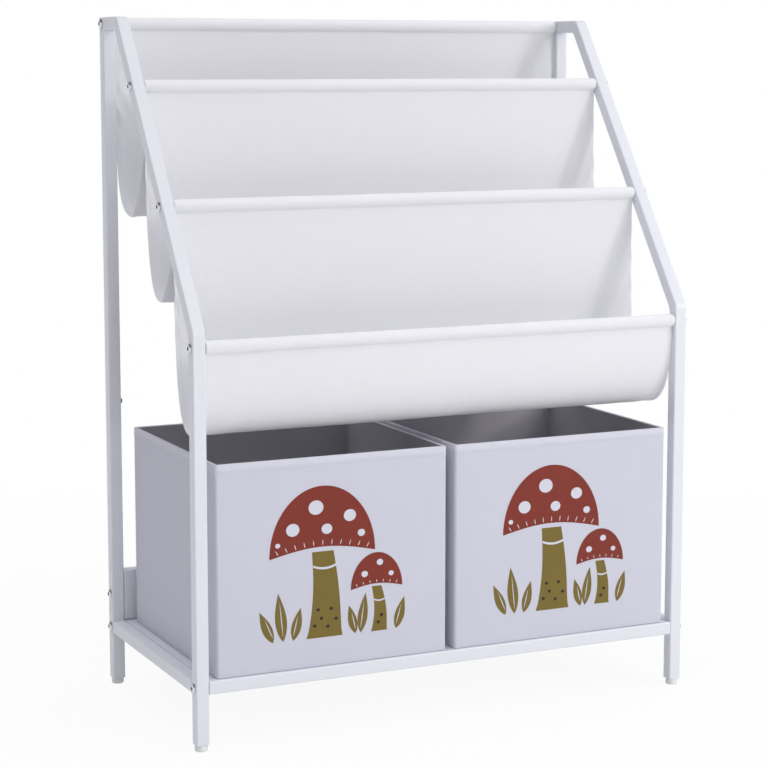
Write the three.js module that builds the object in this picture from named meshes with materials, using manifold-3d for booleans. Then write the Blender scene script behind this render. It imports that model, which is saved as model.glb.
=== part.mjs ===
// Sling bookshelf: a white square-tube frame, four cross rods, three cloth slings and two open fabric bins.
// Millimetres, +Z up, front towards -Y. The origin is on the floor, under the centre of the frame.
import * as THREE from "three";
import { mergeVertices } from "three/addons/utils/BufferGeometryUtils.js";
import Module from "manifold-3d";

const wasm = await Module();
wasm.setup();

// Driving dimensions: the frame
const frameWidth = 622;
const frameDepth = 305;
const frameHeight = 800;
const topTubeLength = 62.5;
const bendHeight = 462.5;
const tubeSide = 15;
const tubeWall = 1.2;
const tubeCornerRadius = 1.8;
const fitGap = 0.3;
const cutOverrun = 5;

// Driving dimensions: cross rods and the rails of the shelf
const rodDiameter = 12.5;
const rodWall = 1.2;
const middleRodBelowTop = 88.3;
const lowRodBelowBend = 15.6;
const endNutDepth = 14;
const deckTop = 78.5;
const deckThickness = 4;
const stopBoardHeight = 61;
const stopScrewAboveDeck = 32.5;
const tabLength = 24;
const tabWidth = 10;
const tabThickness = 2;

// Driving dimensions: fasteners and feet
const screwDiameter = 6;
const screwReach = 27.5;
const screwChamfer = 0.8;
const screwHeadDiameter = 10.6;
const screwHeadHeight = 3.2;
const screwHeadRim = 0.9;
const screwSeatGap = 0.1;
const screwHoleGap = 0.3;
const socketAcrossFlats = 4;
const socketDepth = 1.9;
const anchorHeight = 346;
const anchorDiameter = 3.6;
const anchorReach = 9;
const anchorHeadDiameter = 6.6;
const anchorHeadHeight = 4.2;
const anchorHeadRim = 1.2;
const footHeight = 7;
const footDiameter = 14.2;
const footChamfer = 1.2;
const stemLength = 16;
const stemTaper = 1.5;

// Driving dimensions: cloth slings
const clothThickness = 1;
const slingEndGap = 2;
const sleeveGap = 0.3;
const topSlingDrop = 222.3;
const topSlingBottomSetback = 46.5;
const middleSlingDrop = 241;
const middleSlingBottomSetback = 44.5;
const lowSlingDrop = 248.2;
const lowSlingBottomSetback = 49;
const lowSlingBulge = 2;

// Driving dimensions: fabric bins
const binSpacing = 11;
const binSideGap = 10.5;
const binFrontSetback = 3.5;
const binRearGap = 12.5;
const binTopGap = 24.9;
const binCornerRadius = 3;
const binCoverThickness = 0.7;
const binBoardThickness = 1.6;
const binBaseThickness = 2;

// How round things are faceted
const roundSegments = 24;
const smallRoundSegments = 16;
const cornerSegments = 2;
const domeSteps = 3;
const hexSides = 6;
const clothCurveSteps = 22;

// Colours and finishes
const paintedSteel = { color: 0xe9ebf0, roughness: 0.38, metalness: 0.0 };
const chromePlate = { color: 0xc9cbd0, roughness: 0.18, metalness: 1.0 };
const darkSteel = { color: 0x3c3d42, roughness: 0.45, metalness: 0.8 };
const clearPlastic = { color: 0xd8dadb, roughness: 0.35, metalness: 0.0 };
const paintedBoard = { color: 0xe4e6ea, roughness: 0.5, metalness: 0.0 };
const slingCloth = { color: 0xf0eff3, roughness: 0.85, metalness: 0.0 };
const binCloth = { color: 0xcfcfdb, roughness: 0.9, metalness: 0.0 };
const binLiningCloth = { color: 0x66626c, roughness: 0.9, metalness: 0.0 };
const greyBoard = { color: 0x8f8c86, roughness: 0.9, metalness: 0.0 };

// Sizes that follow
const halfTube = tubeSide / 2;
const halfWidth = frameWidth / 2;
const halfDepth = frameDepth / 2;
const sideCentre = halfWidth - halfTube;
const legCentre = halfDepth - halfTube;
const innerHalfWidth = halfWidth - tubeSide;
const innerHalfDepth = halfDepth - tubeSide;
const crossLength = 2 * (innerHalfWidth - fitGap);
const sideRailLength = 2 * (innerHalfDepth - fitGap);
const railHeight = deckTop - halfTube;
const tubeBore = tubeSide - 2 * tubeWall;
const screwHoleDiameter = screwDiameter + 2 * screwHoleGap;
const rodRadius = rodDiameter / 2;
const sleeveInner = rodRadius + sleeveGap;
const sleeveOuter = sleeveInner + clothThickness;
const slingLength = 2 * (innerHalfWidth - slingEndGap);
const binWidth = innerHalfWidth - binSideGap - binSpacing / 2;
const binDepth = frameDepth - tubeSide - binFrontSetback - binRearGap;

// A closed geometry as a manifold solid, and back
function solidOf(geometry) {
  const bare = geometry.clone();
  bare.deleteAttribute("normal");
  bare.deleteAttribute("uv");
  const merged = mergeVertices(bare);
  return new wasm.Manifold(
    new wasm.Mesh({
      numProp: 3,
      vertProperties: new Float32Array(merged.attributes.position.array),
      triVerts: new Uint32Array(merged.index.array),
    }),
  );
}

function geometryOf(solid) {
  const made = solid.getMesh();
  const geometry = new THREE.BufferGeometry();
  geometry.setAttribute("position", new THREE.BufferAttribute(made.vertProperties, 3));
  geometry.setIndex(new THREE.BufferAttribute(made.triVerts, 1));
  geometry.computeVertexNormals();
  return geometry;
}

const cut = (geometry, ...tools) =>
  geometryOf(tools.reduce((left, tool) => left.subtract(solidOf(tool)), solidOf(geometry)));

const join = (...pieces) =>
  geometryOf(pieces.map(solidOf).reduce((whole, piece) => whole.add(piece)));

// The named meshes
const bookshelf = new THREE.Group();

function addPiece(parent, name, geometry, finish) {
  const mesh = new THREE.Mesh(geometry, new THREE.MeshStandardMaterial(finish));
  mesh.name = name;
  parent.add(mesh);
  return mesh;
}

// Plain shapes
function roundedRectangle(Outline, width, depth, radius) {
  const x = width / 2;
  const y = depth / 2;
  const outline = new Outline();
  outline.moveTo(-x + radius, -y);
  outline.lineTo(x - radius, -y);
  outline.absarc(x - radius, -y + radius, radius, -Math.PI / 2, 0);
  outline.lineTo(x, y - radius);
  outline.absarc(x - radius, y - radius, radius, 0, Math.PI / 2);
  outline.lineTo(-x + radius, y);
  outline.absarc(-x + radius, y - radius, radius, Math.PI / 2, Math.PI);
  outline.lineTo(-x, -y + radius);
  outline.absarc(-x + radius, -y + radius, radius, Math.PI, 1.5 * Math.PI);
  return outline;
}

const raise = (outline, height) =>
  new THREE.ExtrudeGeometry(outline, {
    depth: height,
    bevelEnabled: false,
    curveSegments: cornerSegments,
  });

function roundedBlock(width, depth, height, radius, base) {
  return raise(roundedRectangle(THREE.Shape, width, depth, radius), height).translate(0, 0, base);
}

// A square tube along its own +Z, from 0 to length
function squareTube(length) {
  const section = roundedRectangle(THREE.Shape, tubeSide, tubeSide, tubeCornerRadius);
  const boreRadius = Math.max(tubeCornerRadius - tubeWall, tubeWall / 2);
  section.holes.push(roundedRectangle(THREE.Path, tubeBore, tubeBore, boreRadius));
  return raise(section, length);
}

// A drill along the X axis at a place on a piece's own YZ plane
function drill(diameter, from, to, y, z) {
  const bit = new THREE.CylinderGeometry(diameter / 2, diameter / 2, to - from, smallRoundSegments);
  bit.rotateZ(-Math.PI / 2);
  return bit.translate((from + to) / 2, y, z);
}

// The side frame's outline, seen from the side: (y, z) places along the middle of its tubes
const slopeRun = frameDepth - topTubeLength;
const slopeRise = frameHeight - bendHeight;
const slope = new THREE.Vector2(slopeRun, slopeRise).normalize();
const up = new THREE.Vector2(0, 1);
const back = new THREE.Vector2(1, 0);

// Where the middles of the tubes meet, a little inside the outline's own corners
const bendCorner = new THREE.Vector2(
  -legCentre,
  bendHeight + (halfTube * (slope.y - 1)) / slope.x,
);
const topCorner = new THREE.Vector2(
  halfDepth - topTubeLength + (halfTube * (1 - slope.x)) / slope.y,
  frameHeight - halfTube,
);
const legFoot = footHeight + fitGap;

// Where the screws go through, as (y, z): the rods, then the rails and the stop board. The two rods on the
// slope are as far from each other as the lower one is from the bend.
const rodPitch = (topCorner.distanceTo(bendCorner) - middleRodBelowTop) / 2;
const topRod = new THREE.Vector2(legCentre, frameHeight - halfTube);
const middleRod = bendCorner.clone().addScaledVector(slope, 2 * rodPitch);
const lowRod = bendCorner.clone().addScaledVector(slope, rodPitch);
const frontRod = new THREE.Vector2(-legCentre, bendCorner.y - lowRodBelowBend);
const frontRailPlace = new THREE.Vector2(-legCentre, railHeight);
const rearRailPlace = new THREE.Vector2(legCentre, railHeight);
const stopBoardPlace = new THREE.Vector2(legCentre, deckTop + stopScrewAboveDeck);
const lowSlingUnderside = lowRod.y - lowSlingDrop - clothThickness / 2;
const binHeight = lowSlingUnderside - binTopGap - (deckTop + fitGap);
const screwPlaces = {
  rod_1: topRod,
  rod_2: middleRod,
  rod_3: lowRod,
  rod_4: frontRod,
  front_rail: frontRailPlace,
  rear_rail: rearRailPlace,
  stop_board: stopBoardPlace,
};

// A tube of the side frame from one place to another. Its own Y runs across, in the frame's plane, and
// a mitred end lies on the plane halfway between this tube's direction and its neighbour's.
function sideTube(from, to, before, after, screws, extra = []) {
  const direction = to.clone().sub(from).normalize();
  const across = new THREE.Vector2(direction.y, -direction.x);
  const length = from.distanceTo(to);
  const geometry = squareTube(length);
  const position = geometry.attributes.position;
  const ends = [
    { neighbour: before, start: 0, inwards: 1 },
    { neighbour: after, start: length, inwards: -1 },
  ];
  for (let i = 0; i < position.count; i++) {
    const end = position.getZ(i) < length / 2 ? ends[0] : ends[1];
    const mitre = direction.clone();
    if (end.neighbour) mitre.add(end.neighbour).normalize();
    const lean = across.dot(mitre) / direction.dot(mitre);
    const clearance = end.neighbour ? fitGap / 2 / direction.dot(mitre) : 0;
    position.setZ(i, end.start - position.getY(i) * lean + end.inwards * clearance);
  }
  const holes = screws.map((place) =>
    drill(
      screwHoleDiameter,
      -halfTube - cutOverrun,
      halfTube + cutOverrun,
      0,
      place.clone().sub(from).dot(direction),
    ),
  );
  const tube = holes.length + extra.length ? cut(geometry, ...holes, ...extra) : geometry;
  return { tube, from, direction };
}

function placeSideTube(parent, name, { tube, from, direction }) {
  const mesh = addPiece(parent, name, tube, paintedSteel);
  mesh.position.set(0, from.x, from.y);
  mesh.rotation.x = Math.atan2(-direction.x, direction.y);
  return mesh;
}

// Top tube: it runs over the rear leg, and a welded plate closes its rear end
function topTube() {
  const rearEnd = new THREE.Vector2(halfDepth, topCorner.y);
  const made = sideTube(topCorner, rearEnd, slope, null, []);
  const plate = roundedBlock(
    tubeSide - tubeWall,
    tubeSide - tubeWall,
    tubeWall,
    tubeCornerRadius - tubeWall / 2,
    topCorner.distanceTo(rearEnd) - tubeWall,
  );
  const closed = join(made.tube, plate);
  const hole = drill(
    screwHoleDiameter,
    -halfTube - cutOverrun,
    halfTube + cutOverrun,
    0,
    topRod.x - topCorner.x,
  );
  return { ...made, tube: cut(closed, hole) };
}

// Rear leg: the small hole in its inner wall takes the anchor screw
function rearLeg(inwards) {
  const foot = new THREE.Vector2(legCentre, legFoot);
  const head = new THREE.Vector2(legCentre, frameHeight - tubeSide - fitGap);
  const anchorHole = drill(
    anchorDiameter + 2 * screwHoleGap,
    0,
    halfTube + cutOverrun,
    0,
    anchorHeight - legFoot,
  ).scale(inwards, 1, 1);
  if (inwards < 0) anchorHole.setIndex([...anchorHole.index.array].reverse());
  return sideTube(foot, head, null, null, [rearRailPlace, stopBoardPlace], [anchorHole]);
}

// Side rail between the legs, with two welded tabs that carry the deck. Its own Y points down.
function sideRail(inwards) {
  const front = new THREE.Vector2(-innerHalfDepth + fitGap, railHeight);
  const made = sideTube(front, front.clone().addScaledVector(back, sideRailLength), null, null, []);
  const tabTop = halfTube - deckThickness - fitGap;
  const tabs = [1, 3].map((quarter) =>
    new THREE.BoxGeometry(tabWidth + tubeWall, tabThickness, tabLength).translate(
      (inwards * (tubeSide + tabWidth - tubeWall)) / 2,
      tabThickness / 2 - tabTop,
      (sideRailLength * quarter) / 4,
    ),
  );
  return { ...made, tube: join(made.tube, ...tabs) };
}

// Button-head screw along its own +Y head, with a hexagon socket
function domeProfile(headRadius, headHeight, rim) {
  const points = [];
  for (let i = 0; i <= domeSteps; i++) {
    const turn = ((i / domeSteps) * Math.PI) / 2;
    const height = rim + (headHeight - rim) * Math.cos(turn);
    points.push(new THREE.Vector2(headRadius * Math.sin(turn), height));
  }
  return points;
}

function fastener(diameter, reach, headDiameter, headHeight, rim, segments) {
  const profile = [
    ...domeProfile(headDiameter / 2, headHeight, rim),
    new THREE.Vector2(headDiameter / 2, 0),
    new THREE.Vector2(diameter / 2, 0),
    new THREE.Vector2(diameter / 2, -reach + screwChamfer),
    new THREE.Vector2(diameter / 2 - screwChamfer, -reach),
    new THREE.Vector2(0, -reach),
  ];
  return new THREE.LatheGeometry(profile.reverse(), segments);
}

function buttonScrew() {
  const body = fastener(
    screwDiameter,
    screwReach,
    screwHeadDiameter,
    screwHeadHeight,
    screwHeadRim,
    smallRoundSegments,
  );
  const socketRadius = socketAcrossFlats / 2 / Math.cos(Math.PI / hexSides);
  const socket = new THREE.CylinderGeometry(
    socketRadius,
    socketRadius,
    socketDepth + cutOverrun,
    hexSides,
  );
  const socketFloor = screwHeadHeight - socketDepth;
  return cut(body, socket.translate(0, socketFloor + (socketDepth + cutOverrun) / 2, 0));
}

// Foot: a round glide with a stem that plugs into the leg
function foot() {
  const radius = footDiameter / 2;
  const stemRadius = tubeBore / 2 - fitGap;
  const stemTop = footHeight + stemLength;
  const profile = [
    new THREE.Vector2(0, 0),
    new THREE.Vector2(radius - footChamfer, 0),
    new THREE.Vector2(radius, footChamfer),
    new THREE.Vector2(radius, footHeight),
    new THREE.Vector2(stemRadius, footHeight),
    new THREE.Vector2(stemRadius, stemTop - stemTaper),
    new THREE.Vector2(stemRadius - stemTaper, stemTop),
    new THREE.Vector2(0, stemTop),
  ];
  return new THREE.LatheGeometry(profile, roundSegments).rotateX(Math.PI / 2);
}

// One side of the frame with its screws and feet. Inwards is +1 on the left side and -1 on the right.
function sideFrame(side, inwards) {
  const group = new THREE.Group();
  group.position.x = -inwards * sideCentre;
  const legTop = new THREE.Vector2(-legCentre, bendCorner.y);
  const legBase = new THREE.Vector2(-legCentre, legFoot);
  placeSideTube(group, `rear_leg_${side}`, rearLeg(inwards));
  placeSideTube(group, `top_tube_${side}`, topTube());
  placeSideTube(
    group,
    `slope_tube_${side}`,
    sideTube(bendCorner, topCorner, up, back, [lowRod, middleRod]),
  );
  placeSideTube(
    group,
    `front_leg_${side}`,
    sideTube(legBase, legTop, null, slope, [frontRailPlace, frontRod]),
  );
  placeSideTube(group, `side_rail_${side}`, sideRail(inwards));
  const screw = buttonScrew();
  for (const [name, place] of Object.entries(screwPlaces)) {
    const mesh = addPiece(group, `screw_${name}_${side}`, screw, chromePlate);
    mesh.position.set(-inwards * (halfTube + screwSeatGap), place.x, place.y);
    mesh.rotation.z = (inwards * Math.PI) / 2;
  }
  const anchor = addPiece(
    group,
    `anchor_screw_${side}`,
    fastener(
      anchorDiameter,
      anchorReach,
      anchorHeadDiameter,
      anchorHeadHeight,
      anchorHeadRim,
      smallRoundSegments,
    ),
    darkSteel,
  );
  anchor.position.set(inwards * (halfTube + screwSeatGap), legCentre, anchorHeight);
  anchor.rotation.z = (-inwards * Math.PI) / 2;
  for (const [end, y] of [["front", -legCentre], ["rear", legCentre]]) {
    addPiece(group, `foot_${end}_${side}`, foot(), clearPlastic).position.y = y;
  }
  bookshelf.add(group);
}

// Cross rod along X: a round tube with a threaded nut welded in each end
function crossRod(name, place) {
  const end = crossLength / 2;
  const bore = rodRadius - rodWall;
  const thread = screwHoleDiameter / 2;
  const nut = end - endNutDepth;
  const profile = [
    new THREE.Vector2(thread, -end),
    new THREE.Vector2(rodRadius, -end),
    new THREE.Vector2(rodRadius, end),
    new THREE.Vector2(thread, end),
    new THREE.Vector2(thread, nut),
    new THREE.Vector2(bore, nut),
    new THREE.Vector2(bore, -nut),
    new THREE.Vector2(thread, -nut),
    new THREE.Vector2(thread, -end),
  ];
  const rod = new THREE.LatheGeometry(profile, roundSegments).rotateZ(-Math.PI / 2);
  addPiece(bookshelf, name, rod, paintedSteel).position.set(0, place.x, place.y);
}

// Cross rail along X: a square tube with a threaded block welded in each end
function crossRail(name, place) {
  const rail = squareTube(crossLength);
  const blockSide = tubeBore + tubeWall;
  const block = () => roundedBlock(blockSide, blockSide, endNutDepth, tubeWall / 2, 0);
  const farBlock = block().translate(0, 0, crossLength - endNutDepth);
  const along = join(rail, block(), farBlock);
  along.rotateY(Math.PI / 2).translate(-crossLength / 2, 0, 0);
  const thread = drill(screwHoleDiameter, -halfWidth, halfWidth, 0, 0);
  addPiece(bookshelf, name, cut(along, thread), paintedSteel).position.set(0, place.x, place.y);
}

// Stop board behind the bins, with a screw hole in each end
function stopBoard() {
  const board = new THREE.BoxGeometry(crossLength, tubeSide, stopBoardHeight);
  const lift = deckTop + fitGap + stopBoardHeight / 2;
  const hole = (from, to) => drill(screwHoleDiameter, from, to, 0, stopBoardPlace.y - lift);
  const end = crossLength / 2;
  const made = cut(
    board,
    hole(-end - cutOverrun, -end + endNutDepth),
    hole(end - endNutDepth, end + cutOverrun),
  );
  addPiece(bookshelf, "stop_board", made, paintedBoard).position.set(0, legCentre, lift);
}

function deck() {
  const board = new THREE.BoxGeometry(crossLength, sideRailLength, deckThickness);
  const mesh = addPiece(bookshelf, "deck_board", board, paintedBoard);
  mesh.position.z = deckTop - deckThickness / 2;
}

// Cloth, seen from the side. A strip has an even thickness about its middle line.
function clothStrip(line) {
  const points = line.getPoints(clothCurveSteps);
  const edges = [[], []];
  points.forEach((point, i) => {
    const before = points[Math.max(i - 1, 0)];
    const after = points[Math.min(i + 1, points.length - 1)];
    const along = after.clone().sub(before).normalize();
    const across = new THREE.Vector2(-along.y, along.x).multiplyScalar(clothThickness / 2);
    edges[0].push(point.clone().add(across));
    edges[1].push(point.clone().sub(across));
  });
  return new THREE.Shape([...edges[0], ...edges[1].reverse()]);
}

// The extruded outline stands along X, centred: its own x and y become the model's y and z
function acrossWidth(outline) {
  const geometry = new THREE.ExtrudeGeometry(outline, {
    depth: slingLength,
    bevelEnabled: false,
    curveSegments: roundSegments,
  });
  geometry.translate(0, 0, -slingLength / 2);
  return geometry.applyMatrix4(new THREE.Matrix4().set(0, 0, 1, 0, 1, 0, 0, 0, 0, 1, 0, 0, 0, 0, 0, 1));
}

function sleeve(rod) {
  const ring = new THREE.Shape().absarc(rod.x, rod.y, sleeveOuter, 0, 2 * Math.PI);
  ring.holes.push(new THREE.Path().absarc(rod.x, rod.y, sleeveInner, 0, 2 * Math.PI));
  return acrossWidth(ring);
}

// A sling hangs from its rear rod, turns at its bottom and rises to its front rod. Its back wall and
// its front wall are each one curve; the shares say how far each end of a curve keeps its direction.
function sling(name, shape) {
  const seamDrop = sleeveOuter - clothThickness / 2;
  const sideStep = (clothThickness + fitGap) / 2;
  const bottom = new THREE.Vector2(
    shape.frontRod.x + shape.bottomSetback,
    shape.rearRod.y - shape.drop,
  );
  const rearTop = new THREE.Vector2(
    shape.rearRod.x - (shape.sharesRearRod ? sideStep : 0),
    shape.rearRod.y - seamDrop,
  );
  const frontTop = new THREE.Vector2(
    shape.frontRod.x + (shape.ownsFrontRod ? 0 : sideStep),
    shape.frontRod.y - (shape.ownsFrontRod ? seamDrop : sleeveOuter + fitGap),
  );
  const backDrop = rearTop.y - bottom.y;
  const backRun = rearTop.x - bottom.x;
  const frontRise = frontTop.y - bottom.y;
  const frontRun = bottom.x - frontTop.x;
  const meeting = new THREE.Vector2(frontTop.x, frontTop.y - frontRise * shape.frontPlumbShare);
  const line = new THREE.CurvePath();
  line.add(
    new THREE.CubicBezierCurve(
      rearTop,
      new THREE.Vector2(rearTop.x, rearTop.y - backDrop * shape.backPlumbShare),
      new THREE.Vector2(bottom.x + backRun * shape.backBellyShare, bottom.y),
      bottom,
    ),
  );
  line.add(
    new THREE.CubicBezierCurve(
      bottom,
      new THREE.Vector2(bottom.x - frontRun * shape.frontBellyShare, bottom.y),
      new THREE.Vector2(meeting.x - shape.bulge, meeting.y - frontRise * shape.frontTurnShare),
      meeting,
    ),
  );
  if (shape.frontPlumbShare > 0) line.add(new THREE.LineCurve(meeting, frontTop));
  const pieces = [acrossWidth(clothStrip(line)), sleeve(shape.rearRod)];
  if (shape.ownsFrontRod) pieces.push(sleeve(shape.frontRod));
  addPiece(bookshelf, name, join(...pieces), slingCloth);
}

// Fabric bin: cover, stiff boards and lining. The bin's own origin is under its middle.
function bin(side, middle) {
  const group = new THREE.Group();
  const boardSetIn = binCoverThickness + fitGap;
  const liningSetIn = boardSetIn + binBoardThickness + fitGap;
  const wall = liningSetIn + binCoverThickness;
  const innerCorner = binCornerRadius - binCoverThickness;
  const liningCorner = binCoverThickness;
  const block = (setIn, radius, from, to) =>
    roundedBlock(binWidth - 2 * setIn, binDepth - 2 * setIn, to - from, radius, from);
  const floorTop = boardSetIn + binCoverThickness;
  const boardTop = binHeight - boardSetIn;
  const name = (piece) => `bin_${side}_${piece}`;
  const openTop = binHeight + cutOverrun;

  addPiece(
    group,
    name("cover"),
    cut(
      block(0, binCornerRadius, 0, binHeight),
      block(binCoverThickness, innerCorner, binCoverThickness, binHeight - binCoverThickness),
      block(wall, liningCorner / 2, boardTop, openTop),
    ),
    binCloth,
  );
  addPiece(
    group,
    name("lining"),
    cut(
      block(liningSetIn, liningCorner, boardSetIn, boardTop),
      block(wall, liningCorner / 2, floorTop, openTop),
    ),
    binLiningCloth,
  );
  const boardHeight = boardTop - boardSetIn;
  const boardMiddle = (boardTop + boardSetIn) / 2;
  const cornerRoom = 2 * (binCoverThickness + innerCorner);
  const boardPlace = boardSetIn + binBoardThickness / 2;
  for (const [piece, sign] of [["front_board", -1], ["back_board", 1]]) {
    addPiece(
      group,
      name(piece),
      new THREE.BoxGeometry(binWidth - cornerRoom, binBoardThickness, boardHeight),
      greyBoard,
    ).position.set(0, sign * (binDepth / 2 - boardPlace), boardMiddle);
  }
  for (const [piece, sign] of [["left_board", -1], ["right_board", 1]]) {
    addPiece(
      group,
      name(piece),
      new THREE.BoxGeometry(binBoardThickness, binDepth - cornerRoom, boardHeight),
      greyBoard,
    ).position.set(sign * (binWidth / 2 - boardPlace), 0, boardMiddle);
  }
  const baseInset = wall + fitGap;
  addPiece(
    group,
    name("base_board"),
    new THREE.BoxGeometry(binWidth - 2 * baseInset, binDepth - 2 * baseInset, binBaseThickness),
    binLiningCloth,
  ).position.set(0, 0, floorTop + fitGap + binBaseThickness / 2);
  group.position.set(middle, binFrontSetback + binDepth / 2 - halfDepth, deckTop + fitGap);
  bookshelf.add(group);
}

// The whole bookshelf
sideFrame("left", 1);
sideFrame("right", -1);
crossRod("rod_1", topRod);
crossRod("rod_2", middleRod);
crossRod("rod_3", lowRod);
crossRod("rod_4", frontRod);
crossRail("front_rail", frontRailPlace);
crossRail("rear_rail", rearRailPlace);
stopBoard();
deck();
sling("sling_top", {
  rearRod: topRod,
  frontRod: middleRod,
  drop: topSlingDrop,
  bottomSetback: topSlingBottomSetback,
  backPlumbShare: 0.64,
  backBellyShare: 1,
  frontBellyShare: 0.16,
  frontPlumbShare: 0.43,
  frontTurnShare: 0.12,
  bulge: 0,
  sharesRearRod: false,
  ownsFrontRod: false,
});
sling("sling_middle", {
  rearRod: middleRod,
  frontRod: lowRod,
  drop: middleSlingDrop,
  bottomSetback: middleSlingBottomSetback,
  backPlumbShare: 0.87,
  backBellyShare: 0.48,
  frontBellyShare: 0.2,
  frontPlumbShare: 0.32,
  frontTurnShare: 0.16,
  bulge: 0,
  sharesRearRod: true,
  ownsFrontRod: false,
});
sling("sling_low", {
  rearRod: lowRod,
  frontRod,
  drop: lowSlingDrop,
  bottomSetback: lowSlingBottomSetback,
  backPlumbShare: 0.62,
  backBellyShare: 0.95,
  frontBellyShare: 0.9,
  frontPlumbShare: 0,
  frontTurnShare: 0.35,
  bulge: lowSlingBulge,
  sharesRearRod: true,
  ownsFrontRod: true,
});
const binMiddle = (binWidth + binSpacing) / 2;
bin("left", -binMiddle);
bin("right", binMiddle);

export default bookshelf;
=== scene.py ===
"""Looks of the sling bookshelf, in metres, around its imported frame. Front is -Y and up is +Z."""

import math
from contextlib import contextmanager

import bmesh
import bpy
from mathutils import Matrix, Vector, noise

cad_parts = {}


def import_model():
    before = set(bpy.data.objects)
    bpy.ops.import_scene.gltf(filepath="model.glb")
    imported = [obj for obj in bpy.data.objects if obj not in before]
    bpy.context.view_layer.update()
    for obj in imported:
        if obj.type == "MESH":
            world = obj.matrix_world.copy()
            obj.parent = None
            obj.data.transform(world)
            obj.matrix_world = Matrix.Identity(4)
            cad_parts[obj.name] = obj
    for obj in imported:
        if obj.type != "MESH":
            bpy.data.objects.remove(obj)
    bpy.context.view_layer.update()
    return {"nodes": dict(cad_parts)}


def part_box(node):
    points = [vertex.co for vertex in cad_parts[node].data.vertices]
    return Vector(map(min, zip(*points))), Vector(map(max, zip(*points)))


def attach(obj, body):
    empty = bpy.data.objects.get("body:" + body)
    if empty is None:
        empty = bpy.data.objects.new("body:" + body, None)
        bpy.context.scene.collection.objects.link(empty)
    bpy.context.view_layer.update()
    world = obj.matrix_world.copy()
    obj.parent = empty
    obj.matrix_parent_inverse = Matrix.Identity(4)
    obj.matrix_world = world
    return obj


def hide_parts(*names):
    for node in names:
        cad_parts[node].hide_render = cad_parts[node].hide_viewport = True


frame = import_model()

MM = 0.001
TURN = 2 * math.pi
QUARTER = math.pi / 2
SIDES = (("left", -1), ("right", 1))
RODS = ("rod_1", "rod_2", "rod_3", "rod_4")

# Measures read from the frame
LEG_LOW, LEG_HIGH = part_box("rear_leg_left")
FRONT_LEG_LOW, FRONT_LEG_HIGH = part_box("front_leg_left")
TOP_LOW, TOP_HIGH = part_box("top_tube_left")
SIDE_RAIL_LOW, SIDE_RAIL_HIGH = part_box("side_rail_left")
TUBE = LEG_HIGH.x - LEG_LOW.x
SIDE_X = -(LEG_LOW.x + LEG_HIGH.x) / 2
FRONT_Y = FRONT_LEG_LOW.y
BACK_Y = LEG_HIGH.y
TOP_Z = TOP_HIGH.z

# Measures that all pieces share. Places nearer than NEAR count as one. A face looks along an
# axis when that part of its normal is over FACING, and lies flat when its upward part is over LEVEL.
NEAR = 0.01 * MM
FACING = 0.9
LEVEL = 0.7
JOINT_GAP = 0.15 * MM
SOFT_EDGE = 0.4 * MM
SOFT_STEPS = 2
EDGE_STEPS = 3
ROUND_STEPS = 48
SMOOTH_ANGLE = math.radians(40)
CLOTH_SMOOTH = math.radians(60)


# Operators

def hold(obj):
    """Makes one object the only selected and active one."""
    bpy.ops.object.select_all(action="DESELECT")
    obj.select_set(True)
    bpy.context.view_layer.objects.active = obj
    return obj


@contextmanager
def editing(obj):
    """Edit mode on one object, with all of it selected."""
    hold(obj)
    bpy.ops.object.mode_set(mode="EDIT")
    bpy.ops.mesh.select_all(action="SELECT")
    yield
    bpy.ops.object.mode_set(mode="OBJECT")


def pick(kind, test):
    """In edit mode, selects only the edges or faces that pass a test."""
    bpy.ops.mesh.select_mode(type=kind)
    bpy.ops.mesh.select_all(action="DESELECT")
    mesh = bmesh.from_edit_mesh(bpy.context.edit_object.data)
    for part in {"EDGE": mesh.edges, "FACE": mesh.faces}[kind]:
        if test(part):
            part.select_set(True)
    bmesh.update_edit_mesh(bpy.context.edit_object.data)


def round_edges(obj, test, width, steps=SOFT_STEPS):
    with editing(obj):
        pick("EDGE", test)
        bpy.ops.mesh.bevel(offset=width, segments=steps, affect="EDGES")
    return obj


def settle(obj):
    """Moves an object's place, turn and scale into its mesh."""
    hold(obj)
    bpy.ops.object.transform_apply(location=True, rotation=True, scale=True)
    return obj


def shares(steps):
    """Shares from 0 to 1 in even steps."""
    return [i / steps for i in range(steps + 1)]


def direction(turn):
    return Vector((math.cos(turn), math.sin(turn)))


def put(obj, place, turn=(0, 0, 0)):
    """Turns a piece about the origin, and moves it to its place."""
    obj.location = place
    obj.rotation_euler = turn
    return settle(obj)


def modify(obj, kind, **settings):
    """Adds a modifier with its settings, and applies it."""
    hold(obj)
    bpy.ops.object.modifier_add(type=kind)
    modifier = obj.modifiers[-1]
    for key, value in settings.items():
        setattr(modifier, key, value)
    bpy.ops.object.modifier_apply(modifier=modifier.name)
    return obj


def smooth(obj, angle=SMOOTH_ANGLE):
    hold(obj)
    bpy.ops.object.shade_smooth_by_angle(angle=angle)
    return obj


def smooth_flat(obj):
    """Smooth rounded edges, with the flat faces between them kept flat."""
    return modify(smooth(obj), "WEIGHTED_NORMAL", keep_sharp=True)


def face_outwards(obj):
    with editing(obj):
        bpy.ops.mesh.remove_doubles(threshold=NEAR)
        bpy.ops.mesh.normals_make_consistent(inside=False)
    return obj


def join(name, pieces):
    hold(pieces[0])
    for piece in pieces:
        piece.select_set(True)
    bpy.ops.object.join()
    pieces[0].name = name
    return pieces[0]


def place_of(node):
    """A node's lower corner, upper corner and middle."""
    low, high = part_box(node)
    return low, high, (low + high) / 2


def cuboid(name, low, high):
    bpy.ops.mesh.primitive_cube_add(size=1, location=(Vector(low) + Vector(high)) / 2)
    piece = bpy.context.object
    piece.name = name
    piece.scale = Vector(high) - Vector(low)
    return settle(piece)


def new_object(name, data):
    made = bpy.data.objects.new(name, data)
    bpy.context.scene.collection.objects.link(made)
    return made


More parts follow.
